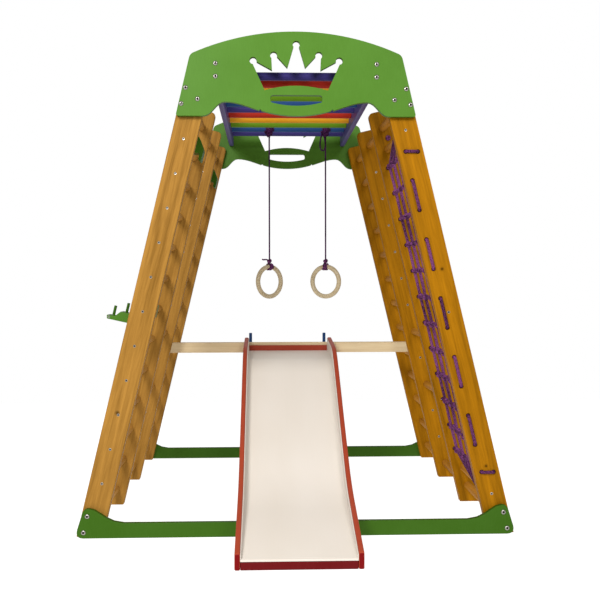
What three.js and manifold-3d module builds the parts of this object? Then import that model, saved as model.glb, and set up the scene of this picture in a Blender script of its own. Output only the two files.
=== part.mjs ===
// Toddler's indoor climbing frame with a slide.
// Two leaning ladder sides carry a rainbow monkey-bar ladder between two crown
// panels. A slide hangs on a cross beam inside, a rope net fills one bay, and two
// rings hang from one of the overhead rungs. Millimetres, +Z up. X runs across the
// frame and Y runs from the foot of the slide to the back.
import * as THREE from 'three';
import { mergeVertices } from 'three/addons/utils/BufferGeometryUtils.js';
import Module from 'manifold-3d';

const wasm = await Module();
wasm.setup();

// ---- driving dimensions ----
const gap = 0.3;                   // clearance between pieces that touch
const frameHeight = 1500;
const frameWidth = 1316;           // over the posts, at the floor
const lean = THREE.MathUtils.degToRad(13.47);
const boardWidth = 76;             // post, across its broad face
const boardThickness = 30;         // post
const panelThickness = 18;
const bayPitch = 396;              // post to post, along Y
const postTop = 1344;              // height of the post's axis at its top end
const rungDiameter = 25;
const rungBase = 56.4;             // height of the lowest rung
const rungPitch = 102.6;
const rungCount = 13;
const sparseLevels = [0, 3, 5, 12];     // rungs of the two middle bays
const netEndHeights = [118, 1214];      // rungs that the net hangs between
const railOffset = 239;            // overhead side rail, from the middle
const railThickness = 19;
const railDepth = 78;
const barHeight = 1386;            // axis of the overhead rungs
const barCount = 11;
const barStart = 85;               // first overhead rung, from the front face
const barPitch = 104.5;
const ringBar = 9;                 // index of the rung that the rings hang from
const ringRadius = 60.75;          // to the middle of the ring's wood
const ringTube = 9.25;
const ringHeight = 763;
const ringRopeDiameter = 6;
const netRope = 9;
const netColumns = 4;              // upright strands
const netInset = 15;               // net plane, inside the posts' middle line
const netHole = 14;
const laceLow = 184;
const laceFirst = 267;
const lacePitch = 88.5;
const laceHigh = 1150;
const lacePair = 36;               // between the two holes of an end stitch
const slideWidth = 343.6;
const slideShift = -4;             // the slide sits a little left of the middle
const slideBoard = 15;             // side boards' thickness
const slideFoot = -323;            // the slide's front end
const slideEnd = 930;              // the slide's top end
const bedThickness = 6;
const trayWall = 2;
const beamSize = 40;
const beamHalfLength = 518;
const beamFront = 932;
const armDepth = 60;               // peg shelf and hooks, along Y
const shelfRung = 6;               // index of the rung that the peg shelf sits on
const hookRung = 11;               // index of the rung that the hooks sit on

// ---- derived values ----
const slope = Math.tan(lean);
const flatWidth = boardWidth / Math.cos(lean);       // post's width along X
const axisX = (z) => (frameWidth - flatWidth) / 2 - slope * z;
const postFront = (i) => panelThickness + gap + i * bayPitch;
const rearPanelFront = postFront(3) + boardThickness + gap;
const frameDepth = rearPanelFront + panelThickness;
const rungLevels = Array.from({ length: rungCount }, (_, k) => rungBase + rungPitch * k);
const stitchLevels = Array.from({ length: 10 }, (_, k) => laceFirst + lacePitch * k);
const laceLevels = [laceLow, ...stitchLevels, laceHigh];
const beamBottom = rungLevels[4] + rungDiameter / 2 + gap;
const beamTop = beamBottom + beamSize;
const bedHalfWidth = slideWidth / 2 - slideBoard - gap;
const ringBarY = barStart + barPitch * ringBar;

// ---- materials ----
const material = (color, roughness, metalness = 0) =>
  new THREE.MeshStandardMaterial({ color, roughness, metalness });
const finish = {
  pine: () => material(0xc69650, 0.45),
  green: () => material(0x68a344, 0.4),
  darkGreen: () => material(0x4c7d1e, 0.4),
  violet: () => material(0x5a4b82, 0.4),
  red: () => material(0xb94b32, 0.4),
  darkRed: () => material(0x96191e, 0.4),
  bed: () => material(0xe6ded4, 0.3),
  paleWood: () => material(0xe6d7aa, 0.5),
  ringWood: () => material(0xe1cdaa, 0.45),
  blue: () => material(0x284678, 0.4),
  rope: () => material(0x64326e, 0.85),
};
const rainbow = [0x463c82, 0xbe321e, 0xeba528, 0x6e9614, 0x1e3c6e];

// ---- shared makers ----
const group = new THREE.Group();
group.position.y = -(slideFoot + frameDepth) / 2;

function addNode(name, geometry, look) {
  const mesh = new THREE.Mesh(geometry, look);
  mesh.name = name;
  group.add(mesh);
  return mesh;
}

function toManifold(geometry) {
  const bare = geometry.clone();
  bare.deleteAttribute('normal');
  bare.deleteAttribute('uv');
  const merged = mergeVertices(bare, 1e-4);
  return new wasm.Manifold(new wasm.Mesh({
    numProp: 3,
    vertProperties: new Float32Array(merged.attributes.position.array),
    triVerts: new Uint32Array(merged.index.array),
  }));
}

function fromManifold(solid) {
  const mesh = solid.getMesh();
  const geometry = new THREE.BufferGeometry();
  geometry.setAttribute('position', new THREE.BufferAttribute(mesh.vertProperties, 3));
  geometry.setIndex(new THREE.BufferAttribute(mesh.triVerts, 1));
  return geometry;
}

function join(geometries) {
  return fromManifold(geometries.map(toManifold).reduce((all, one) => all.add(one)));
}

function cut(geometry, tools) {
  return fromManifold(tools.map(toManifold).reduce((rest, tool) => rest.subtract(tool), toManifold(geometry)));
}

// A board cut to an outline drawn in X and Z, from y to y + thickness.
function uprightBoard(shape, thickness, y, curveSegments = 6) {
  const geometry = new THREE.ExtrudeGeometry(shape, { depth: thickness, bevelEnabled: false, curveSegments });
  return geometry.rotateX(Math.PI / 2).translate(0, y + thickness, 0);
}

// A board cut to an outline drawn in Y and Z, from x to x + thickness.
function sideBoard(shape, thickness, x) {
  const geometry = new THREE.ExtrudeGeometry(shape, { depth: thickness, bevelEnabled: false, curveSegments: 5 });
  const turn = new THREE.Matrix4().makeBasis(
    new THREE.Vector3(0, 1, 0), new THREE.Vector3(0, 0, 1), new THREE.Vector3(1, 0, 0));
  return geometry.applyMatrix4(turn).translate(x, 0, 0);
}

// A polygon whose corners [x, y, r] are rounded off over the length r.
function roundedShape(corners) {
  const shape = new THREE.Shape();
  corners.forEach(([x, y, r = 0], i) => {
    const here = new THREE.Vector2(x, y);
    const last = new THREE.Vector2(...corners.at(i - 1).slice(0, 2));
    const next = new THREE.Vector2(...corners[(i + 1) % corners.length].slice(0, 2));
    const start = last.sub(here).setLength(r).add(here);
    const end = next.sub(here).setLength(r).add(here);
    if (i === 0) shape.moveTo(start.x, start.y);
    else shape.lineTo(start.x, start.y);
    if (r > 0) shape.quadraticCurveTo(x, y, end.x, end.y);
  });
  return shape;
}

// A closed anticlockwise outline from its right half, which is drawn from the top
// middle to the bottom middle.
function mirrored(half, divisions = 5) {
  const right = half.getPoints(divisions);
  const left = right.filter((p) => Math.abs(p.x) > 1e-6).map((p) => new THREE.Vector2(-p.x, p.y));
  return [...left, ...right.reverse()];
}

function barAlongY(diameter, x, z, from, to) {
  const geometry = new THREE.CylinderGeometry(diameter / 2, diameter / 2, to - from, 12);
  return geometry.translate(x, (from + to) / 2, z);
}

// ---- ladder sides ----
// A post: a board that leans inward, cut flat at the floor and square at the top.
function postBoard(side, i) {
  const top = new THREE.Vector2(axisX(postTop), postTop);
  const across = new THREE.Vector2(Math.cos(lean), Math.sin(lean)).multiplyScalar(boardWidth / 2);
  const outer = top.clone().add(across);
  const inner = top.clone().sub(across);
  const shape = roundedShape([
    [side * (frameWidth / 2), 0],
    [side * outer.x, outer.y, 16],
    [side * inner.x, inner.y, 16],
    [side * (frameWidth / 2 - flatWidth), 0],
  ]);
  return uprightBoard(shape, boardThickness, postFront(i));
}

function rung(side, bay, z, overlap = 0) {
  const from = postFront(bay) + boardThickness + gap;
  const to = postFront(bay + 1) - gap + overlap;
  return barAlongY(rungDiameter, side * axisX(z), z, from, to);
}

// Holes for the net's rope through a post, w away from the post's middle line.
function postHoles(i, w, levels) {
  const from = postFront(i) - 1;
  const to = postFront(i) + boardThickness + 1;
  return levels.map((z) => barAlongY(netHole, axisX(z) + w / Math.cos(lean), z, from, to));
}

function addLadderSides() {
  for (const [side, word] of [[-1, 'left'], [1, 'right']]) {
    const holes = [0, 1].map((i) => (side > 0 ? postHoles(i, -netInset, laceLevels) : []));
    if (side > 0) holes[0].push(...postHoles(0, lacePair - netInset, [laceLow, laceHigh]));
    ['front_post', 'second_post'].forEach((name, i) => {
      const board = postBoard(side, i);
      addNode(`${word}_${name}`, holes[i].length ? cut(board, holes[i]) : board, finish.pine());
    });
    // The rungs of the two rear bays are glued into the post behind them.
    const sparse = sparseLevels.map((k) => rung(side, 1, rungLevels[k], 1));
    addNode(`${word}_third_post`, join([postBoard(side, 2), ...sparse]), finish.pine());
    const full = rungLevels.map((z) => rung(side, 2, z, 1));
    addNode(`${word}_rear_post`, join([postBoard(side, 3), ...full]), finish.pine());
  }
  rungLevels.forEach((z, k) => {
    addNode(`left_front_rung_${String(k + 1).padStart(2, '0')}`, rung(-1, 0, z), finish.pine());
  });
  const netBay = [rungLevels[0], ...netEndHeights, rungLevels[rungCount - 1]];
  netBay.forEach((z, k) => {
    addNode(`right_front_rung_${String(k + 1).padStart(2, '0')}`, rung(1, 0, z), finish.pine());
  });
}

// ---- crown panels and base rails ----
const crownCorner = { x: 314, z: 1432 };
const crownFoot = { x: 356.6, z: 1250.5 };

function crownOutline() {
  const rise = frameHeight - crownCorner.z;
  const radius = (crownCorner.x ** 2 + rise ** 2) / (2 * rise);
  const half = new THREE.Path();
  half.absarc(0, frameHeight - radius, radius, Math.PI / 2, Math.acos(304 / radius), true);
  half.quadraticCurveTo(crownCorner.x, crownCorner.z, crownCorner.x + 3, crownCorner.z - 13);
  half.lineTo(crownFoot.x - 1.8, crownFoot.z + 8);
  half.quadraticCurveTo(crownFoot.x, crownFoot.z, crownFoot.x - 8, crownFoot.z);
  half.lineTo(277, crownFoot.z);
  half.bezierCurveTo(247, 1250.5, 240, 1292.5, 211, 1292.5);
  half.bezierCurveTo(175, 1292.5, 140, 1276.5, 111, 1267.5);
  half.lineTo(107, 1271.5);
  half.lineTo(103, 1266.5);
  half.quadraticCurveTo(55, 1251.5, 0, 1251.5);
  return new THREE.Shape(mirrored(half, 8));
}

function handSlot() {
  const half = new THREE.Path();
  half.moveTo(0, 1312.5);
  half.lineTo(68, 1312.5);
  half.quadraticCurveTo(77, 1312.5, 77, 1303.5);
  half.lineTo(77, 1298.5);
  half.quadraticCurveTo(77, 1290.5, 68, 1289.5);
  half.quadraticCurveTo(36, 1281.5, 0, 1281.5);
  return new THREE.Path(mirrored(half));
}

// The crown cut-out: five points that end in round balls over a curved base.
function crownCutout() {
  const ball = 10.7;
  const half = new THREE.Path();
  half.absarc(0, 1462, ball, Math.PI / 2, -0.7, true);
  half.lineTo(26.5, 1393);
  half.absarc(67, 1430, ball, Math.PI * 1.12, -0.9, true);
  half.lineTo(72, 1386);
  half.absarc(127.8, 1414, ball, Math.PI * 1.1, -1.5, true);
  half.lineTo(94, 1326.5);
  half.quadraticCurveTo(47, 1340.5, 0, 1340.5);
  return new THREE.Path(mirrored(half));
}

function baseRailOutline() {
  const half = new THREE.Path();
  half.moveTo(0, 45);
  half.lineTo(515, 45);
  half.bezierCurveTo(570, 47, 588, 88, 618, 88);
  half.quadraticCurveTo(633, 88, 637, 74);
  half.lineTo(652, 26);
  half.quadraticCurveTo(659, 1, 634, 0);
  half.lineTo(0, 0);
  return new THREE.Shape(mirrored(half));
}

function addPanels() {
  for (const [word, y] of [['front', 0], ['rear', rearPanelFront]]) {
    const crown = crownOutline();
    crown.holes.push(handSlot(), crownCutout());
    addNode(`${word}_crown_panel`, uprightBoard(crown, panelThickness, y), finish.green());
    addNode(`${word}_base_rail`, uprightBoard(baseRailOutline(), panelThickness, y), finish.darkGreen());
  }
}

// ---- overhead ladder ----
function addMonkeyBars() {
  const from = panelThickness + gap;
  const to = rearPanelFront - gap;
  for (const [side, word] of [[-1, 'left'], [1, 'right']]) {
    const rail = new THREE.BoxGeometry(railThickness, to - from, railDepth);
    rail.translate(side * railOffset, (from + to) / 2, barHeight);
    addNode(`monkey_bar_${word}_rail`, rail, finish.violet());
  }
  const length = 2 * railOffset - railThickness - 2 * gap;
  for (let i = 0; i < barCount; i += 1) {
    const bar = new THREE.CylinderGeometry(rungDiameter / 2, rungDiameter / 2, length, 12);
    bar.rotateZ(Math.PI / 2).translate(0, barStart + barPitch * i, barHeight);
    addNode(`coloured_rung_${String(i + 1).padStart(2, '0')}`, bar, material(rainbow[i % 5], 0.4));
  }
}

// ---- rings ----
function addRings() {
  const top = barHeight - rungDiameter / 2 - gap;
  const bottom = ringHeight + ringRadius + ringTube + gap;
  for (const [word, x, turn] of [['left', -77, 40], ['right', 153, -31]]) {
    const rope = new THREE.CylinderGeometry(ringRopeDiameter / 2, ringRopeDiameter / 2, top - bottom, 8);
    rope.rotateX(Math.PI / 2).translate(x, ringBarY, (top + bottom) / 2);
    addNode(`${word}_ring_rope`, rope, finish.rope());
    const ring = new THREE.TorusGeometry(ringRadius, ringTube, 8, 28);
    ring.rotateX(Math.PI / 2).rotateZ(THREE.MathUtils.degToRad(turn)).translate(x, ringBarY, ringHeight);
    addNode(`${word}_ring`, ring, finish.ringWood());
  }
}

// ---- rope net ----
// The net lies in a plane of its own: u runs along Y, v runs up the leaning posts and
// w is square to both, zero on the posts' middle line.
const netPlane = new THREE.Matrix4().makeBasis(
  new THREE.Vector3(0, 1, 0),
  new THREE.Vector3(-Math.sin(lean), 0, Math.cos(lean)),
  new THREE.Vector3(Math.cos(lean), 0, Math.sin(lean)),
).setPosition(axisX(0), 0, 0);

// A square strand from [u, z] to [u, z], z being a height above the floor.
function strand(u0, u1, z0, z1, w0 = -netInset, w1 = -netInset) {
  const grow = netRope / 2;
  const wide = (a, b) => [Math.min(a, b) - grow, Math.max(a, b) + grow];
  const up = (z, w) => (z - w * Math.sin(lean)) / Math.cos(lean);
  const [[ua, ub], [va, vb], [wa, wb]] = [wide(u0, u1), wide(up(z0, w0), up(z1, w1)), wide(w0, w1)];
  const box = new THREE.BoxGeometry(ub - ua, vb - va, wb - wa);
  return box.translate((ua + ub) / 2, (va + vb) / 2, (wa + wb) / 2);
}

function addNet() {
  const grow = netRope / 2;
  const behindFront = postFront(0) + boardThickness + gap + netRope;     // behind the lacing
  const first = behindFront + grow + gap;
  const last = postFront(1) - 50;
  const columns = Array.from({ length: netColumns }, (_, i) => first + ((last - first) * i) / (netColumns - 1));
  const beyond = postFront(1) + boardThickness - 6;
  const rows = laceLevels.map((z) => strand(first + 1, beyond, z, z));
  const clear = rungDiameter / 2 + grow + 3;
  const [low, high] = [netEndHeights[0] + clear, netEndHeights[1] - clear];
  const w = -netInset - 1;           // the uprights are knotted on the inner side
  const uprights = columns.map((u) => strand(u, u, low, high, w, w));
  addNode('climbing_net', join([...rows, ...uprights]).applyMatrix4(netPlane), finish.rope());
}

// The lacing runs in and out of the front post like a row of stitches, and ends in a
// short level stitch at the top and at the bottom.
function addLacing() {
  const grow = netRope / 2;
  const front = postFront(0) - gap - grow;
  const back = postFront(0) + boardThickness + gap + grow;
  const passes = laceLevels.map((z) => strand(front, back, z, z));
  const stitches = laceLevels.slice(1).map((z, i) => {
    const u = i % 2 === 0 ? back : front;
    return strand(u, u, laceLevels[i], z);
  });
  const far = lacePair - netInset;
  const ends = [laceLow, laceHigh].flatMap((z) => [
    strand(front, front, z, z, -netInset, far),
    strand(front, back, z, z, far, far),
  ]);
  addNode('front_post_lacing', join([...passes, ...stitches, ...ends]).applyMatrix4(netPlane), finish.rope());
}

// ---- slide ----
// The slide's long edges bend twice: from the foot to the run, and from the run to the
// short platform at the top.
const slideTop = [[slideFoot, 45, 8], [52, 149, 110], [636, 516.5, 70], [slideEnd, 543, 22]];
const slideUnder = [[slideEnd, 440, 12], [637, 413.6, 70], [75, 76, 110], [-245, 0, 20], [slideFoot, 0, 5]];
const bedTop = [[slideFoot + 2, 29], [70, 107, 110], [648, 471, 70], [slideEnd - 18, 489]];

function dropped(points, depth) {
  return points.map(([y, z, r]) => [y, z - depth, r]).reverse();
}

function addSlide() {
  const board = roundedShape([...slideTop, ...slideUnder]);
  addNode('slide_left_side', sideBoard(board, slideBoard, slideShift - slideWidth / 2), finish.red());
  addNode('slide_right_side', sideBoard(board, slideBoard, slideShift + slideWidth / 2 - slideBoard), finish.red());

  const bed = roundedShape([...bedTop, ...dropped(bedTop, bedThickness)]);
  const wallTop = [[slideFoot + 2, 41], [52, 145, 110], [636, 512.5, 70], [slideEnd - 18, 537.5]];
  const wall = roundedShape([...wallTop, ...dropped(bedTop, 3)]);
  const tray = join([
    sideBoard(bed, 2 * bedHalfWidth, slideShift - bedHalfWidth),
    sideBoard(wall, trayWall, slideShift - bedHalfWidth),
    sideBoard(wall, trayWall, slideShift + bedHalfWidth - trayWall),
  ]);
  addNode('slide_bed', tray, finish.bed());

  const frontPiece = new THREE.BoxGeometry(2 * bedHalfWidth, 18, 22);
  frontPiece.translate(slideShift, slideFoot + 2 + 9, 11);
  addNode('slide_front_crosspiece', frontPiece, finish.darkRed());
  const topPiece = new THREE.BoxGeometry(2 * bedHalfWidth, 15, 31);
  topPiece.translate(slideShift, slideEnd - 18 + gap + 7.5, beamBottom - 0.9 + 15.5);
  addNode('slide_top_crosspiece', topPiece, finish.red());
}

// A bracket runs under the platform and the beam and stands up behind the beam.
function addBrackets() {
  const behind = beamFront + beamSize + gap;
  const seat = beamBottom - 1.2;
  const outline = roundedShape([
    [810, 470, 4], [870, seat, 10], [behind, seat], [behind + 1, 556, 4], [behind + 11, 556, 4],
    [behind + 16, 446, 10], [behind, 430, 10], [810, 434, 10],
  ]);
  for (const [word, x] of [['left', -160], ['right', 137]]) {
    addNode(`slide_${word}_bracket`, sideBoard(outline, 12, x), finish.blue());
  }
}

function addBeam() {
  const [y0, y1, z0, z1] = [beamFront, beamFront + beamSize, beamBottom, beamTop];
  const section = roundedShape([[y0, z0, 4], [y0, z1, 4], [y1, z1, 4], [y1, z0, 4]]);
  addNode('cross_beam', sideBoard(section, 2 * beamHalfLength, slideShift - beamHalfLength), finish.paleWood());
}

// ---- peg shelf and hooks ----
// These sit on rungs of the left ladder. Their outlines are drawn square to the
// leaning posts, with the rung's axis at the origin.
function onRung(k) {
  const height = rungLevels[k];
  return new THREE.Matrix4().makeRotationY(lean).setPosition(-axisX(height), 0, height);
}

function rungFitting(corners, y, k) {
  const shape = roundedShape(corners);
  shape.holes.push(new THREE.Path().absarc(0, 0, rungDiameter / 2 + 1, 0, 2 * Math.PI));
  return uprightBoard(shape, armDepth, y).applyMatrix4(onRung(k));
}

// A tapered green arm that reaches out of the ladder, with two pegs glued into it.
function addPegShelf() {
  const y = postFront(0) + 140;
  const arm = rungFitting([
    [22, 20, 8], [22, -20, 10], [-30, -54, 12], [-121, -55, 4], [-124, -41, 4], [-98, -41, 6],
    [-84, -24, 6], [-56, -24, 6], [-36, -8, 10], [-16, 22, 8],
  ], y, shelfRung);
  const pegs = [[-107, -41], [-69, -24]].map(([x, foot]) => {
    const peg = new THREE.CylinderGeometry(4.5, 4.5, 34, 10).rotateX(Math.PI / 2);
    return peg.translate(x, y + armDepth / 2, foot + 13).applyMatrix4(onRung(shelfRung));
  });
  addNode('peg_shelf', join([arm, ...pegs]), finish.green());
}

// Two green blocks on a high rung, each with a finger that reaches down inside it.
function addHooks() {
  for (const [word, bay] of [['front', 0], ['rear', 2]]) {
    const hook = rungFitting([
      [-34, -24, 8], [12, -24, 4], [21, -14, 4], [40, -14, 3], [42, -34, 3], [51, -36, 4],
      [52, 2, 8], [29, 37, 6], [-20, 37, 12], [-36, 14, 10],
    ], postFront(bay) + 140, hookRung);
    addNode(`${word}_rung_hook`, hook, finish.darkGreen());
  }
}

addLadderSides();
addPanels();
addMonkeyBars();
addRings();
addNet();
addLacing();
addSlide();
addBrackets();
addBeam();
addPegShelf();
addHooks();

export default group;
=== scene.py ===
from math import cos, pi, radians, sin, tan

import bmesh
import bpy
from mathutils import Matrix, Vector


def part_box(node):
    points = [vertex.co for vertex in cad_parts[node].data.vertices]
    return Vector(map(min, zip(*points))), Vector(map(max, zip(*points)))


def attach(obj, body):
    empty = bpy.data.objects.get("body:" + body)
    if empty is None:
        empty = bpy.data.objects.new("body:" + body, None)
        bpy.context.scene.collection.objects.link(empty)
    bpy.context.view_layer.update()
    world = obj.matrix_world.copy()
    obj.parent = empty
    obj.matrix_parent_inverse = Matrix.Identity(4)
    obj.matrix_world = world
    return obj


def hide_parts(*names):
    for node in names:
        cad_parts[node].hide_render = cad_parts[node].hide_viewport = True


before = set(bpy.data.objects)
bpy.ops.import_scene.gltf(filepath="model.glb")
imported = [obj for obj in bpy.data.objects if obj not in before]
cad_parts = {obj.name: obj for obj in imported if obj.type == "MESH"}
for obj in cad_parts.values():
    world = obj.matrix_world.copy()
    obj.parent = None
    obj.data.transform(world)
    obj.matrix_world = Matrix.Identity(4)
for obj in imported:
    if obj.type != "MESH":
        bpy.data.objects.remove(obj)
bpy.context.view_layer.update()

scene = bpy.context.scene

# ---- Studio: a white room with soft light -------------------------------------------
# A pale, matt floor in front of a white backdrop. The key lamp stands in front, high on
# the left, and a weaker one on the right. The room itself gives the rest of the light.
scene.view_settings.view_transform = "Standard"
scene.view_settings.look = "None"

front_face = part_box("front_crown_panel")[0][1]     # the frame's front plane, along Y

camera_data = bpy.data.cameras.new("camera")
camera_data.sensor_width = 36.0
camera_data.lens = 54.66
camera = bpy.data.objects.new("camera", camera_data)
scene.collection.objects.link(camera)
camera.matrix_world = (
    Matrix.Translation((-0.090, front_face - 2.706, 0.7544))
    @ Matrix.Rotation(-0.0369, 4, "Z")
    @ Matrix.Rotation(pi / 2 - 0.0179, 4, "X")
    @ Matrix.Rotation(-0.0015, 4, "Z")
)
scene.camera = camera

world = bpy.data.worlds.new("studio")
world.use_nodes = True
backdrop = world.node_tree.nodes["Background"]
backdrop.inputs["Color"].default_value = (1.0, 1.0, 1.0, 1.0)
seen = world.node_tree.nodes.new("ShaderNodeLightPath")
strength = world.node_tree.nodes.new("ShaderNodeMapRange")
strength.inputs["To Min"].default_value = 0.55     # as light on the frame
strength.inputs["To Max"].default_value = 1.0      # as seen behind the frame
world.node_tree.links.new(seen.outputs["Is Camera Ray"], strength.inputs["Value"])
world.node_tree.links.new(strength.outputs["Result"], backdrop.inputs["Strength"])
scene.world = world


def lamp(name, place, aim, size, power):
    data = bpy.data.lights.new(name, "AREA")
    data.shape = "DISK"
    data.size = size
    data.energy = power
    made = bpy.data.objects.new(name, data)
    made.location = place
    made.rotation_euler = (Vector(aim) - Vector(place)).to_track_quat("-Z", "Y").to_euler()
    scene.collection.objects.link(made)


lamp("key_lamp", (-1.1, -2.9, 2.2), (0, -0.3, 0.7), 0.9, 80)
lamp("fill_lamp", (1.1, -3.1, 2.7), (0, -0.3, 0.5), 1.2, 40)

floor_mesh = bmesh.new()
bmesh.ops.create_grid(floor_mesh, x_segments=1, y_segments=1, size=2.6)
floor_data = bpy.data.meshes.new("floor")
floor_mesh.to_mesh(floor_data)
floor_mesh.free()
floor = bpy.data.objects.new("floor", floor_data)
scene.collection.objects.link(floor)


# ---- Ladder posts: eight leaning pine boards ----------------------------------------
# Each post is a planed pine board with eased edges, stained honey and varnished. The
# right-hand posts take a darker amber copy of the pine as painted shade, for the side
# the light reaches less. The feet are sawn flat for the floor. The two right-hand posts
# at the front are drilled for the rope net.
class Wire:
    """A shader socket that Python arithmetic turns into Math nodes."""

    def __init__(self, finish, socket):
        self.finish = finish
        self.socket = socket

    def math(self, operation, first, second):
        return self.finish.add("ShaderNodeMath", {"operation": operation}, {0: first, 1: second})

    def __add__(self, other):
        return self.math("ADD", self, other)

    def __sub__(self, other):
        return self.math("SUBTRACT", self, other)

    def __rsub__(self, other):
        return self.math("SUBTRACT", other, self)

    def __mul__(self, other):
        return self.math("MULTIPLY", self, other)

    def __gt__(self, other):
        return self.math("GREATER_THAN", self, other)

    def __lt__(self, other):
        return self.math("LESS_THAN", self, other)

    __radd__ = __add__
    __rmul__ = __mul__


class Finish:
    """A material with a Principled shader, built up node by node."""

    def __init__(self, name, roughness=0.5, **values):
        self.material = bpy.data.materials.new(name)
        self.material.use_nodes = True
        self.tree = self.material.node_tree
        self.shader = self.tree.nodes["Principled BSDF"]
        self.shader.inputs["Roughness"].default_value = roughness
        self.shader.inputs["Specular IOR Level"].default_value = 0.07
        for key, value in values.items():
            self.shader.inputs[key.replace("_", " ").title()].default_value = value

    def add(self, kind, settings=None, inputs=None, output=0):
        node = self.tree.nodes.new(kind)
        for key, value in (settings or {}).items():
            if key == "stops":
                ramp = node.color_ramp
                while len(ramp.elements) < len(value):
                    ramp.elements.new(0.5)
                for element, (place, color) in zip(ramp.elements, value):
                    element.position = place
                    element.color = (*color, 1.0)
            else:
                setattr(node, key, value)
        for key, value in (inputs or {}).items():
            self.join(value, node.inputs[key])
        return Wire(self, node.outputs[output])

    def join(self, value, socket):
        if isinstance(value, Wire):
            self.tree.links.new(value.socket, socket)
        elif isinstance(value, tuple) and len(socket.default_value) == 4:
            socket.default_value = (*value[:3], 1.0)
        else:
            socket.default_value = value

    def set(self, name, value):
        self.join(value, self.shader.inputs[name])

    def object_space(self, turn=(0, 0, 0), scale=(1, 1, 1)):
        where = self.add("ShaderNodeTexCoord", output=3)
        return self.add("ShaderNodeMapping", inputs={"Vector": where, "Rotation": turn, "Scale": scale})

    def noise(self, where, scale, detail=3.0, roughness=0.5, distortion=0.0):
        inputs = {"Vector": where, "Scale": scale, "Detail": detail,
                  "Roughness": roughness, "Distortion": distortion}
        return self.add("ShaderNodeTexNoise", inputs=inputs)

    def blend(self, factor, first, second):
        return self.add("ShaderNodeMix", {"data_type": "RGBA"}, {0: factor, 6: first, 7: second}, 2)

    def ramp(self, value, *stops):
        return self.add("ShaderNodeValToRGB", {"stops": stops}, {0: value})

    def bump(self, height, distance, strength=1.0):
        inputs = {"Height": height, "Distance": distance, "Strength": strength}
        self.set("Normal", self.add("ShaderNodeBump", inputs=inputs))


def srgb(code):
    """A paint colour from its six-digit code, as linear light."""
    parts = [int(code[i:i + 2], 16) / 255 for i in (0, 2, 4)]
    return tuple(p / 12.92 if p <= 0.04045 else ((p + 0.055) / 1.055) ** 2.4 for p in parts)


def wood(name, light, dark, turn=(0, 0, 0), axis=2, knots=(), roughness=0.5, gloss=0.03):
    """Clear-coated softwood: streaks and fibres along one axis, and dark knots at places."""
    finish = Finish(name, roughness)
    turned_space = finish.object_space(turn)
    stretch = [1.0, 1.0, 1.0]
    stretch[axis] = 0.045
    space = finish.add("ShaderNodeMapping", inputs={"Vector": turned_space, "Scale": tuple(stretch)})
    streaks = finish.noise(space, 70.0, 3.0, 0.55, 0.6)
    bands = finish.noise(space, 16.0, 2.0, 0.5, 1.5)
    fibres = finish.noise(space, 480.0, 2.0, 0.6)
    tone = streaks * 0.5 + bands * 0.3 + fibres * 0.2
    color = finish.ramp(tone, (0.34, srgb(dark)), (0.64, srgb(light)))
    height = fibres * 0.6 + streaks * 0.4
    for place, radius in knots:
        away = finish.add("ShaderNodeVectorMath", {"operation": "DISTANCE"}, {
            0: finish.add("ShaderNodeTexCoord", output=3), 1: place}, 1)
        near, clear = (radius, (1.0, 1.0, 1.0)), (radius * 2.2, (0.0, 0.0, 0.0))
        knot = finish.ramp(away + streaks * 0.004, near, clear)
        color = finish.blend(knot * 0.85, color, tuple(c * 0.2 for c in srgb(dark)))
    finish.set("Base Color", color)
    finish.set("Roughness", fibres * 0.16 + (roughness - 0.08))
    finish.shader.inputs["Specular IOR Level"].default_value = gloss
    finish.bump(height, 0.0002, 0.5)
    return finish.material


def piece(name, mesh, material, body="root", sharp=38):
    """Turns a bmesh into an object that rides on a body, with flat faces kept crisp."""
    bmesh.ops.triangulate(mesh, faces=[f for f in mesh.faces if len(f.verts) > 4])
    data = bpy.data.meshes.new(name)
    mesh.to_mesh(data)
    mesh.free()
    data.shade_smooth()
    data.set_sharp_from_angle(angle=radians(sharp))
    data.materials.append(material)
    made = bpy.data.objects.new(name, data)
    scene.collection.objects.link(made)
    made.modifiers.new("even shading", "WEIGHTED_NORMAL").keep_sharp = True
    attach(made, body)
    return made


def eased(node, radius):
    """A copy of a CAD solid whose sharp edges are rounded over as a router leaves them."""
    mesh = bmesh.new()
    mesh.from_mesh(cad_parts[node].data)
    bmesh.ops.remove_doubles(mesh, verts=mesh.verts, dist=2e-5)
    bmesh.ops.dissolve_limit(mesh, angle_limit=radians(1.0), verts=mesh.verts, edges=mesh.edges)
    edges = [e for e in mesh.edges if e.is_manifold and e.calc_face_angle() > radians(45)]
    bmesh.ops.bevel(mesh, geom=edges, offset=radius, offset_type="OFFSET", segments=3,
                    profile=0.5, affect="EDGES", clamp_overlap=True, material=-1)
    return mesh


lean = radians(13.47)
post_ease = 0.003
post_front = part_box("left_front_post")[0][1]
post_knots = {                         # where each knot is, and its radius
    "left": [((-0.5337, post_front, 0.370), 0.005)],
    "right": [((0.4381, post_front, 0.798), 0.004), ((0.5729, post_front, 0.202), 0.004)],
}
# One pine on both sides. The right-hand copy is darker amber: painted shade for the side the light reaches
# less.
pine_lit_per_side = {
    "left": wood("honey_pine_lit_left", "a87a36", "74501c", (0, -lean, 0), knots=post_knots["left"]),
    "right": wood("amber_pine_shaded_right", "a46c0a", "704802", (0, lean, 0), knots=post_knots["right"]),
}
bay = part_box("left_second_post")[0][1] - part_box("left_front_post")[0][1]
posts = ["front_post", "second_post", "third_post", "rear_post"]

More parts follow.
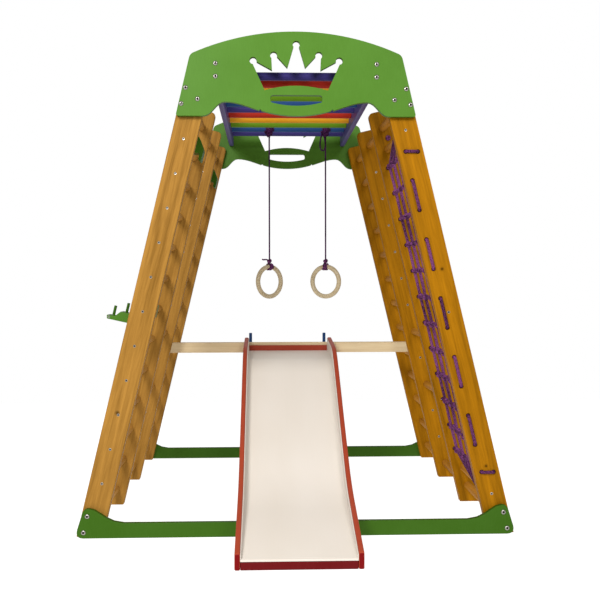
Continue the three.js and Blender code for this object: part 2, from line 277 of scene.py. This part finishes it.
for side in ("left", "right"):
    for index, name in enumerate(posts):
        drilled = side == "right" and index < 2
        mesh = eased(f"{side}_{name}" if drilled else "left_front_post", post_ease)
        if not drilled:
            bmesh.ops.translate(mesh, vec=(0, bay * index, 0), verts=mesh.verts)
            if side == "right":
                bmesh.ops.scale(mesh, vec=(-1, 1, 1), verts=mesh.verts)
                bmesh.ops.reverse_faces(mesh, faces=mesh.faces)
        post = piece(f"{side}_{name}_board", mesh, pine_lit_per_side[side])
        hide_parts(f"{side}_{name}")


# ---- Ladder rungs: turned pine dowels -----------------------------------------------
# Round dowels run from post to post and are screwed through the posts. The left side
# has thirteen in the front bay, and both sides have four in the middle bay and
# thirteen at the back. The net's bay has only four.
def dowel(name, start, end, radius, material, ease=0.0015):
    """A round bar between two points with its ends chamfered."""
    start, end = Vector(start), Vector(end)
    mesh = bmesh.new()
    length = (end - start).length
    bmesh.ops.create_cone(mesh, cap_ends=True, segments=28, radius1=radius, radius2=radius, depth=length)
    rims = [e for e in mesh.edges if abs(e.verts[0].co.z - e.verts[1].co.z) < 1e-6]
    bmesh.ops.bevel(mesh, geom=rims, offset=ease, offset_type="OFFSET", segments=2,
                    profile=0.5, affect="EDGES", material=-1)
    turn = (end - start).to_track_quat("Z", "Y").to_matrix().to_4x4()
    bmesh.ops.transform(mesh, matrix=Matrix.Translation((start + end) / 2) @ turn, verts=mesh.verts)
    return piece(name, mesh, material)


def middle(node):
    low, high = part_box(node)
    return (Vector(low) + Vector(high)) / 2


rung_radius = 0.0125
# One dowel finish on both sides. The right-hand copy is darker amber: painted shade for the side the light
# reaches less.
dowel_lit_per_side = {
    "left": wood("honey_dowel_lit_left", "b4843e", "8e6226", axis=1),
    "right": wood("amber_dowel_shaded_right", "b47c2a", "865414", axis=1),
}
rung_span = [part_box("left_front_rung_01")[i][1] for i in (0, 1)]
levels = [middle(f"left_front_rung_{k:02d}") for k in range(1, 14)]
sparse = [levels[k] for k in (0, 3, 5, 12)]
sign = {"left": 1, "right": -1}        # the levels were measured on the left


def rungs(side, bay_index, word, places):
    for k, place in enumerate(places, 1):
        x = sign[side] * place.x
        ends = [(x, y + bay * bay_index, place.z) for y in rung_span]
        rung = dowel(f"{side}_{word}_dowel_{k:02d}", *ends, rung_radius, dowel_lit_per_side[side])
        if bay_index == 0:
            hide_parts(f"{side}_front_rung_{k:02d}")


net_rungs = [middle(f"right_front_rung_{k:02d}") for k in range(1, 5)]
rungs("left", 0, "front", levels)
rungs("right", 0, "front", [Vector((-p.x, p.y, p.z)) for p in net_rungs])
for side in ("left", "right"):
    rungs(side, 1, "middle", sparse)
    rungs(side, 2, "rear", levels)


# ---- Crown panels and base rails: painted plywood -----------------------------------
# Both ends of the frame are closed by a plywood crown panel with a crown cut-out and
# a hand slot, and by a base rail with raised ends. They are cut from 18 mm birch
# plywood, rounded over and painted, and the plies show faintly on the edges, which
# are painted darker as shade.
def paint(name, color, roughness=0.38, grain=(14, 1, 1), plies=0.0, ends=None):
    """Paint with the grain showing through, plies on cut edges painted darker as shade, and end faces in a
    darker painted shade.
    """
    finish = Finish(name, roughness)
    base = srgb(color)
    drift = 0.06                # how far the tone wanders either way
    space = finish.object_space(scale=(6, 6, 6))
    cloud = finish.noise(space, 1.0, 3.0, 0.6)
    grained = finish.object_space(scale=grain)
    fibre = finish.noise(grained, 30.0, 4.0, 0.6)
    lighter = tuple(min(1.0, c * (1 + drift) + 0.006) for c in base)
    darker = tuple(c * (1 - drift * 1.6) for c in base)
    tone = cloud * 0.6 + fibre * 0.4
    color_wire = finish.ramp(tone, (0.3, darker), (0.7, lighter))
    height = fibre * 0.5 + cloud * 0.2
    normal = finish.add("ShaderNodeTexCoord", output=1)
    parts = finish.add("ShaderNodeSeparateXYZ", inputs={0: normal}, output=1)
    facing = finish.add("ShaderNodeMath", {"operation": "ABSOLUTE"}, {0: parts})
    # End faces, whose normals run along Y, take the darker ends colour: painted shade where less light
    # falls.
    if ends:
        color_wire = finish.blend(facing > 0.8, color_wire, srgb(ends))
    if plies:
        edge = facing < 0.55
        layers = finish.add("ShaderNodeTexWave", {"wave_type": "BANDS", "bands_direction": "Y"}, {
            "Vector": finish.object_space(), "Scale": 0.1 * pi / plies, "Distortion": 0.4}, 1)
        # Cut edges blend towards a darker green in ply bands: the plies, with painted shade on the edges.
        shaded_ply_edge = tuple(c * 0.55 for c in base)
        color_wire = finish.blend(edge * (layers * 0.5 + 0.25), color_wire, shaded_ply_edge)
        height = height + edge * layers * 0.8
    finish.set("Base Color", color_wire)
    finish.set("Roughness", cloud * 0.12 + (roughness - 0.06))
    finish.bump(height, 0.0004, 0.4)
    return finish.material


ply = 0.003                 # thickness of one ply
panel_green = paint("leaf_green_paint", "46701e", plies=ply)
rail_green = paint("moss_green_paint", "345a0c", plies=ply)

for end in ("front", "rear"):
    crown = piece(f"{end}_crown_board", eased(f"{end}_crown_panel", 0.0025), panel_green)
    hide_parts(f"{end}_crown_panel")
    rail = piece(f"{end}_base_board", eased(f"{end}_base_rail", 0.0025), rail_green)
    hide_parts(f"{end}_base_rail")


# ---- Overhead ladder: violet rails and rainbow rungs --------------------------------
# Two violet boards run from panel to panel with eleven painted dowels between them,
# in purple, red, yellow, green and blue, over and over.
violet = paint("violet_paint", "4a4072", grain=(1, 14, 1))
rainbow = [
    ("purple_paint", "322a64"), ("red_paint", "98200e"), ("yellow_paint", "c08414"),
    ("light_green_paint", "547a0a"), ("blue_paint", "1c3e6e"),
]
rung_paint = [paint(name, color, 0.34, (1, 14, 14)) for name, color in rainbow]

for side in ("left", "right"):
    rail = piece(f"overhead_{side}_rail", eased(f"monkey_bar_{side}_rail", 0.004), violet)
    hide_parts(f"monkey_bar_{side}_rail")

for k in range(11):
    node = f"coloured_rung_{k + 1:02d}"
    low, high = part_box(node)
    at = middle(node)
    bar = dowel(f"overhead_rung_{k + 1:02d}", (low[0], at.y, at.z), (high[0], at.y, at.z),
                rung_radius, rung_paint[k % 5])
    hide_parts(node)


# ---- Screws and bolts ---------------------------------------------------------------
# Zinc-plated screws hold every rung through the posts. Button-head bolts hold the
# crown panels and base rails to the posts and to the overhead rails. A near-black disc
# sits in each head's recess as painted shade.
def plated(name, color, roughness):
    finish = Finish(name, roughness, metallic=1.0)
    cloud = finish.noise(finish.object_space(), 900.0, 3.0)
    base = srgb(color)
    finish.set("Base Color", finish.ramp(cloud, (0.3, tuple(c * 0.75 for c in base)), (0.7, base)))
    finish.set("Roughness", cloud * 0.2 + (roughness - 0.1))
    return finish.material


steel = plated("plated_steel", "aca8a0", 0.3)
# Near-black metal for the discs that paint the shade in the heads' recesses.
painted_recess_shade = plated("painted_recess_shade", "1c1a18", 0.5)


def turned(profile, steps=16):
    """A closed body of revolution about +Z from [radius, height] points in metres."""
    mesh = bmesh.new()
    points = [mesh.verts.new((r, 0, z)) for r, z in profile]
    edges = [mesh.edges.new(pair) for pair in zip(points, points[1:])]
    bmesh.ops.spin(mesh, geom=points + edges, axis=(0, 0, 1), cent=(0, 0, 0), steps=steps,
                   angle=2 * pi, use_merge=True)
    bmesh.ops.remove_doubles(mesh, verts=mesh.verts, dist=1e-6)
    bmesh.ops.recalc_face_normals(mesh, faces=mesh.faces)
    return mesh


def heads(name, profile, places, facing, material, steps=16):
    """One piece with a turned head at each place, all facing one way."""
    template = turned(profile, steps)
    one = bpy.data.meshes.new("head")
    template.to_mesh(one)
    template.free()
    turn = Vector(facing).to_track_quat("Z", "Y").to_matrix().to_4x4()
    mesh = bmesh.new()
    for place in places:
        one.transform(turn)
        one.transform(Matrix.Translation(place))
        mesh.from_mesh(one)
        one.transform(Matrix.Translation(place).inverted())
        one.transform(turn.inverted())
    return piece(name, mesh, material)


mm = 0.001
button = [(0, 1.2 * mm), (3.3 * mm, 1.2 * mm), (3.5 * mm, 3.2 * mm), (4.8 * mm, 3.0 * mm),
          (6.6 * mm, 1.9 * mm), (7.4 * mm, 0.3 * mm), (7.4 * mm, -1 * mm), (0, -1 * mm)]
countersunk = [(0, -0.8 * mm), (1.4 * mm, -0.6 * mm), (1.7 * mm, 0.3 * mm), (3.8 * mm, 0.4 * mm),
               (4.2 * mm, 0.1 * mm), (4.2 * mm, -1 * mm), (0, -1.4 * mm)]
# Discs of painted shade at the bottom of the bolts' sockets and the screws' recesses.
button_socket_shade = [(0, 1.6 * mm), (3.2 * mm, 1.6 * mm), (3.2 * mm, 1.3 * mm), (0, 1.3 * mm)]
cross_recess_shade = [(0, 0.45 * mm), (2.2 * mm, 0.45 * mm), (2.2 * mm, -0.4 * mm), (0, -0.4 * mm)]
rear_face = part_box("rear_crown_panel")[1][1]
crown_bolts = [(239, 1405), (239, 1367), (327, 1333), (340, 1286), (292, 1300)]
rail_bolts = [(621.7, 66), (633, 18)]
for end, y, facing in (("front", front_face, (0, -1, 0)), ("rear", rear_face, (0, 1, 0))):
    spots = [(s * x * mm, y, z * mm) for x, z in crown_bolts + rail_bolts for s in (-1, 1)]
    heads(f"{end}_panel_bolts", button, spots, facing, steel)
    heads(f"{end}_bolt_socket_shade", button_socket_shade, spots, facing, painted_recess_shade, steps=6)


def post_face(side, index, z, forward=True):
    """The middle of a post's front or back face at a height."""
    x = levels[0].x + tan(lean) * (z - levels[0].z)
    low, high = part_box("left_front_post")
    y = (low[1] if forward else high[1]) + bay * index
    return (sign[side] * x, y, z)


screw_rows = {
    "left_front_post": [post_face("left", 0, p.z) for p in levels[1:12]],
    "right_front_post": [post_face("right", 0, z) for z in (net_rungs[1].z, net_rungs[2].z, 0.668)],
    "left_second_post": [post_face("left", 1, p.z, False) for p in levels if p not in sparse],
    "left_third_post": [post_face("left", 2, p.z) for p in levels if p not in sparse],
    "right_third_post": [post_face("right", 2, p.z) for p in levels if p not in sparse],
    "left_rear_post": [post_face("left", 3, p.z, False) for p in levels[1:12]],
    "right_rear_post": [post_face("right", 3, p.z, False) for p in levels[1:12]],
}
for name, spots in screw_rows.items():
    facing = (0, 1, 0) if "second" in name or "rear" in name else (0, -1, 0)
    heads(f"{name}_screws", countersunk, spots, facing, steel)
    heads(f"{name}_recess_shades", cross_recess_shade, spots, facing, painted_recess_shade, steps=8)


# ---- Rings on ropes -----------------------------------------------------------------
# Two turned beech rings hang from the tenth overhead rung on braided cord. Each cord
# is wound round the rung and knotted under it, and tied again round the ring. The
# right one keeps a hanging loop, and the left one a short tail.
def rope_finish(name, light, dark, plaits):
    """Braided cord: a diamond plait along the rope, with loose pale threads."""
    finish = Finish(name, 0.75)
    place = finish.add("ShaderNodeUVMap", {"uv_map": "UVMap"})
    parts = [finish.add("ShaderNodeSeparateXYZ", inputs={0: place}, output=i) for i in (0, 1)]
    wave = {"operation": "SINE"}
    around, along = parts[0] * (plaits * 2 * pi), parts[1]
    one = finish.add("ShaderNodeMath", wave, {0: around + along})
    two = finish.add("ShaderNodeMath", wave, {0: around - along})
    plait = one * two * 0.5 + 0.5
    speckle = finish.noise(finish.object_space(), 300.0, 3.0, 0.7)
    tone = plait * 0.4 + speckle * 1.1 - 0.25
    finish.set("Base Color", finish.ramp(tone, (0.3, srgb(dark)), (0.7, srgb(light))))
    finish.bump(plait * 0.7 + speckle * 0.3, 0.0012, 0.9)
    return finish.material


purple_rope = rope_finish("plum_braided_rope", "84487e", "1c0619", 2)
fine_rope = rope_finish("dark_plum_cord", "5c2c60", "1c0820", 2)


def rope(name, paths, diameter, material, body="root"):
    """Round rope along one or more lists of points. Its UV runs along and round it."""
    mesh = bmesh.new()
    for path in paths:
        line = bpy.data.curves.new(name, "CURVE")
        line.dimensions = "3D"
        line.bevel_depth = diameter / 2
        line.bevel_resolution = 3
        line.use_fill_caps = True
        spline = line.splines.new("POLY")
        spline.points.add(len(path) - 1)
        for point, place in zip(spline.points, path):
            point.co = (*place, 1.0)
        carrier = bpy.data.objects.new(name, line)
        scene.collection.objects.link(carrier)
        bpy.context.view_layer.update()
        tube = bpy.data.meshes.new_from_object(carrier)
        length = sum((Vector(b) - Vector(a)).length for a, b in zip(path, path[1:]))
        turns = length / (diameter * 1.3) * 2 * pi
        for loop in tube.uv_layers["UVMap"].data:
            loop.uv.y *= turns
        mesh.from_mesh(tube)
        bpy.data.objects.remove(carrier)
        bpy.data.meshes.remove(tube)
    return piece(name, mesh, material, body, 60)


def coil(centre, axis, radius, pitch, turns, start=0.0, steps=14):
    """Points of a rope wound round an axis, from one end of the winding to the other."""
    axis = Vector(axis).normalized()
    side = axis.orthogonal().normalized()
    other = axis.cross(side)
    count = int(steps * turns) + 1
    points = []
    for i in range(count):
        t = turns * i / (count - 1)
        angle = start + 2 * pi * t
        out = (side * cos(angle) + other * sin(angle)) * radius
        points.append(Vector(centre) + out + axis * pitch * (t - turns / 2))
    return points


def knot(centre, diameter, size=1.0):
    """The two crossing coils of a tight round knot."""
    first = coil(centre, (1.0, 0.35, 0.5), diameter * 0.95 * size, diameter * 0.8 * size, 2.2 * size, 0.4)
    second = coil(centre, (-0.45, 0.3, 1.0), diameter * 1.2 * size, diameter * 0.9, 1.7 * size, 2.0)
    return [first, second]


def hanging_loop(top, width, drop):
    """A narrow bight of rope that hangs open from a knot."""
    points = []
    for i in range(25):
        t = -pi / 2 + 2 * pi * (i + 0.6) / 25.2
        across = cos(t) * width / 2 * (1 - 0.35 * sin(t))
        points.append(top + Vector((across, 0.002 * sin(2 * t), (sin(t) - 1) * drop / 2)))
    return points[13:] + points[:12]


def ring(name, centre, turn, major, minor, material, body):
    mesh = bmesh.new()
    section = bmesh.ops.create_circle(mesh, segments=24, radius=minor)["verts"]
    bmesh.ops.rotate(mesh, matrix=Matrix.Rotation(pi / 2, 3, "X"), verts=section)
    bmesh.ops.translate(mesh, vec=(major, 0, 0), verts=section)
    bmesh.ops.spin(mesh, geom=mesh.verts[:] + mesh.edges[:], axis=(0, 0, 1), cent=(0, 0, 0),
                   steps=72, angle=2 * pi, use_merge=True)
    bmesh.ops.remove_doubles(mesh, verts=mesh.verts, dist=1e-6)
    bmesh.ops.recalc_face_normals(mesh, faces=mesh.faces)
    place = Matrix.Translation(centre) @ Matrix.Rotation(turn, 4, "Z") @ Matrix.Rotation(pi / 2, 4, "X")
    bmesh.ops.transform(mesh, matrix=place, verts=mesh.verts)
    return piece(name, mesh, material, body)


beech = wood("pale_beech", "cabb9a", "b4a27e", axis=0, roughness=0.34, gloss=0.4)
cord = 0.006
ring_tube = 0.00925
ring_turns = {"left": radians(40), "right": radians(-31)}
for side, turn in ring_turns.items():
    low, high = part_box(f"{side}_ring_rope")
    x, y = middle(f"{side}_ring_rope").xy
    centre = middle(f"{side}_ring")
    major = (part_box(f"{side}_ring")[1][2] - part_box(f"{side}_ring")[0][2]) / 2 - ring_tube
    hoop = ring(f"{side}_hoop", centre, turn, major, ring_tube, beech, f"{side}_ring")
    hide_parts(f"{side}_ring")

    count = 24
    line = [(x, y, high[2] + (low[2] - high[2]) * i / count) for i in range(count + 1)]
    strand = rope(f"{side}_hanging_rope", [line], cord, fine_rope, f"{side}_rope")
    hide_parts(f"{side}_ring_rope")

    bar = middle("coloured_rung_10")
    wound = coil((x, bar.y, bar.z), (1, 0, 0), rung_radius + cord / 2, cord * 1.15, 5.0, pi)
    under = Vector((x, y - 0.004, high[2] - 0.008))
    upper_paths = [wound] + knot(under, cord, 1.5)
    if side == "right":
        upper_paths.append(hanging_loop(under + Vector((-0.012, -0.006, 0)), 0.021, 0.068))
    tie = rope(f"{side}_rung_knot", upper_paths, cord, fine_rope, f"{side}_rope")
    top = Vector((x, y, centre.z + major))
    along = (cos(turn), sin(turn), 0)
    loops = coil(top, along, ring_tube + cord / 2, cord * 1.15, 3.0, pi)
    binding = rope(f"{side}_ring_binding", [loops], cord, purple_rope, f"{side}_ring")
    above = Vector((x, y - 0.002, low[2] + 0.013))
    lower_paths = knot(above, cord)
    if side == "left":
        lower_paths.append([above + Vector(p) for p in ((-0.004, 0, 0.004), (-0.014, -0.003, 0.007),
                                                        (-0.024, -0.004, 0.006), (-0.030, -0.003, 0.008))])
    lower = rope(f"{side}_ring_knot", lower_paths, cord, purple_rope, f"{side}_rope")


# ---- Rope net and its lacing --------------------------------------------------------
# The front bay on the right is filled by a net of 9.6 mm braided rope, knotted at each
# crossing and hitched to the rungs above and below. Its rows pass through the second
# post. A rope laces its front edge to the front post like a row of stitches.
net_rope = 0.0096
half = net_rope / 2
base_x = -levels[0].x + tan(lean) * levels[0].z    # the posts' middle line at the floor
up = Vector((-sin(lean), 0, cos(lean)))
outward = Vector((cos(lean), 0, sin(lean)))
net_inset = -0.015
pair_gap = 0.036
rows = [0.184] + [0.267 + 0.0885 * k for k in range(10)] + [1.150]
post_low, post_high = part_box("right_front_post")
second_low, second_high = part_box("right_second_post")
net_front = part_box("climbing_net")[0][1]


def on_net(y, z, w=net_inset):
    """A point of the net's plane at a height, w out from the posts' middle line."""
    v = (z - w * sin(lean)) / cos(lean)
    return Vector((base_x, y, 0)) + up * v + outward * w


def waver(i, size):
    return size * sin(i * 2.399)


first_column = net_front + half
last_column = second_low[1] - 0.050
columns = [first_column + (last_column - first_column) * i / 3 for i in range(4)]
strands = []
for i, y in enumerate(columns):
    low_tie, high_tie = (on_net(first_column + 0.008 + 0.022 * i, p.z, 0.0) for p in net_rungs[1:3])
    behind = outward * (rung_radius + half)
    path = [low_tie - behind]
    path += [on_net(y + waver(i + k, 0.0012), z, net_inset - 0.001 + waver(2 * i + k, 0.0008))
             for k, z in enumerate(rows)]
    path.append(high_tie - behind)
    strands.append(path)
    for tie in (low_tie, high_tie):
        strands.append(coil(tie, (0, 1, 0), rung_radius + half, net_rope * 1.05, 1.5, 0.0, 14))
for i, z in enumerate(rows):
    ys = [columns[0] - half] + columns + [second_low[1], second_high[1] + 0.002]
    path = [on_net(y, z + waver(i + 2 * k, 0.0016) * (0 < k < 5)) for k, y in enumerate(ys)]
    strands.append(path)
net = rope("rope_net", strands, net_rope, purple_rope)
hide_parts("climbing_net")

end_hole = net_inset + pair_gap
knots = [coil(on_net(post_high[1] + half, z, end_hole), (0, 1, 0), half * 1.3, net_rope * 0.8, 2.0, 0.5, 10)
         for z in (rows[0], rows[-1])]
for i, y in enumerate(columns):
    for k, z in enumerate(rows):
        axis = up + Vector((0, 0.9 if (i + k) % 2 else -0.9, 0))
        knots.append(coil(on_net(y, z), axis, half * 1.4, net_rope * 0.7, 1.3, i + k, 10))
for k, z in enumerate(rows):
    if all(abs(z - p.z) > 0.02 for p in sparse):
        behind_post = on_net(second_high[1] + half, z)
        knots.append(coil(behind_post, (0, 1, 0), half * 0.9, net_rope * 0.6, 1.6, k, 10))
stopper = on_net(second_low[1] - half, 1.2535, 0.009)
knots.append(coil(stopper, (0.3, 1, 0.4), half, net_rope * 0.5, 1.7, 1, 10))
tied = rope("net_knots", knots, net_rope * 0.92, purple_rope)


def bent(corners, radius, steps=4):
    """A path through corners, each rounded off over a radius."""
    points = [corners[0]]
    for before, corner, after in zip(corners, corners[1:], corners[2:]):
        enter = corner + (before - corner).normalized() * min(radius, (before - corner).length / 2)
        leave = corner + (after - corner).normalized() * min(radius, (after - corner).length / 2)
        for i in range(steps + 1):
            t = i / steps
            points.append(enter * (1 - t) ** 2 + corner * 2 * t * (1 - t) + leave * t ** 2)
    return points + [corners[-1]]


front_y = post_low[1] - half
back_y = post_high[1] + half
tail = 0.006                # how far the rope's ends stick out behind the post
stitch = [on_net(back_y + tail, rows[-1], end_hole), on_net(front_y, rows[-1], end_hole),
          on_net(front_y, rows[-1])]
for i, z in enumerate(reversed(rows)):
    here, there = (front_y, back_y) if i % 2 == 0 else (back_y, front_y)
    if i:
        stitch.append(on_net(here, z))
    stitch.append(on_net(there, z))
stitch = stitch[:-1] + [on_net(front_y, rows[0]), on_net(front_y, rows[0], end_hole),
                        on_net(back_y + tail, rows[0], end_hole)]
lacing = rope("net_lacing", [bent(stitch, 0.006)], net_rope, purple_rope)
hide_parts("front_post_lacing")


# ---- Slide --------------------------------------------------------------------------
# Two red plywood sides carry a smooth cream bed between them. A dark red piece closes
# the foot and a red one the top. Two blue brackets carry the beam, which lies on a
# rung of each ladder.
# The sides' end faces are painted dark crimson as shade.
slide_red = paint("brick_red_paint", "9a3c24", grain=(1, 14, 1), ends="720a0c")
head_red = paint("plain_red_paint", "943a28")
foot_red = paint("crimson_paint", "600508", grain=(14, 1, 1))
bracket_blue = paint("navy_paint", "1f3c68")


def lacquer(name, light, dark):
    """Smooth sprayed lacquer with faint slide marks that run down the bed."""
    finish = Finish(name, 0.4)
    cloud = finish.noise(finish.object_space(scale=(5, 2, 2)), 1.0, 2.0)
    streak = finish.noise(finish.object_space(scale=(60, 1.2, 1.2)), 3.0, 3.0, 0.6)
    tone = cloud * 0.9 + streak * 0.1
    finish.set("Base Color", finish.ramp(tone, (0.3, srgb(dark)), (0.7, srgb(light))))
    finish.set("Roughness", streak * 0.2 + 0.26)
    finish.bump(streak, 0.0001, 0.2)
    return finish.material


bed_cream = lacquer("cream_lacquer", "d8d0c6", "d2c9bd")
slide_pieces = [
    ("slide_left_side", "slide_left_board", 0.005, slide_red, "slide_red"),
    ("slide_right_side", "slide_right_board", 0.005, slide_red, "slide_red"),
    ("slide_bed", "slide_bed_sheet", 0.0006, bed_cream, "white_bed"),
    ("slide_front_crosspiece", "slide_foot_piece", 0.003, foot_red, "dark_red"),
    ("slide_top_crosspiece", "slide_head_piece", 0.003, head_red, "slide_red"),
    ("slide_left_bracket", "left_beam_bracket", 0.002, bracket_blue, "bracket_blue"),
    ("slide_right_bracket", "right_beam_bracket", 0.002, bracket_blue, "bracket_blue"),
    ("cross_beam", "beam_bar", 0.0012,
     wood("clear_lacquered_pine", "dcc9a2", "c8b088", axis=0), "pale_wood"),
]
for node, name, ease, material, slot_name in slide_pieces:
    made = piece(name, eased(node, ease), material, "slide")
    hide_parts(node)


# ---- Peg shelf and hooks ------------------------------------------------------------
# A tapered green plywood arm fits round a rung outside the left ladder, with two dark
# green pegs glued into its steps and a screw in its tip. Two dark green hooks sit on
# the second rung from the top. All are cut from thick plywood and painted.
def on_rung(level, x, y, z):
    """A point given square to the left ladder, from the axis of one of its rungs."""
    home = levels[level]
    return Vector((home.x + x * cos(lean) + z * sin(lean), y, home.z - x * sin(lean) + z * cos(lean)))


shelf_low, shelf_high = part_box("peg_shelf")
arm_y = (shelf_low[1] + shelf_high[1]) / 2
arm_corners = [(22, 20), (22, -20), (-24, -50), (-36, -54), (-121, -55), (-124, -43), (-98, -41),
               (-84, -24), (-56, -24), (-36, -8), (-22, 16), (-12, 22)]
mesh = bmesh.new()
rim = [mesh.verts.new(on_rung(6, x * mm, shelf_low[1], z * mm)) for x, z in arm_corners]
face = mesh.faces.new(rim)
solid = bmesh.ops.extrude_face_region(mesh, geom=[face])["geom"]
moved = [v for v in solid if isinstance(v, bmesh.types.BMVert)]
bmesh.ops.translate(mesh, vec=(0, shelf_high[1] - shelf_low[1], 0), verts=moved)
bmesh.ops.recalc_face_normals(mesh, faces=mesh.faces)
bmesh.ops.bevel(mesh, geom=mesh.edges[:], offset=0.002, offset_type="OFFSET", segments=2,
                profile=0.5, affect="EDGES", clamp_overlap=True, material=-1)
arm = piece("shelf_arm", mesh, panel_green)
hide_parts("peg_shelf")
for word, x, foot in (("outer", -107, -42), ("inner", -69, -25)):
    ends = [on_rung(6, x * mm, arm_y, z * mm) for z in (foot, foot + 31)]
    peg = dowel(f"{word}_shelf_peg", *ends, 0.0045, rail_green, ease=0.001)
tip = on_rung(6, -116 * mm, shelf_low[1], -48 * mm)
heads("shelf_tip_screw", countersunk, [tip], (0, -1, 0), steel)
for end in ("front", "rear"):
    hook = piece(f"{end}_hook", eased(f"{end}_rung_hook", 0.002), rail_green)
    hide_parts(f"{end}_rung_hook")


# ---- Floor finish -------------------------------------------------------------------
# Matt white, with a glow that keeps it as bright as the backdrop.
floor_paint = Finish("studio_floor", 0.9)
floor_paint.set("Base Color", (0.3, 0.3, 0.3))
floor_paint.set("Emission Color", (1.0, 1.0, 1.0))
floor_paint.shader.inputs["Emission Strength"].default_value = 0.92
floor_data.materials.append(floor_paint.material)
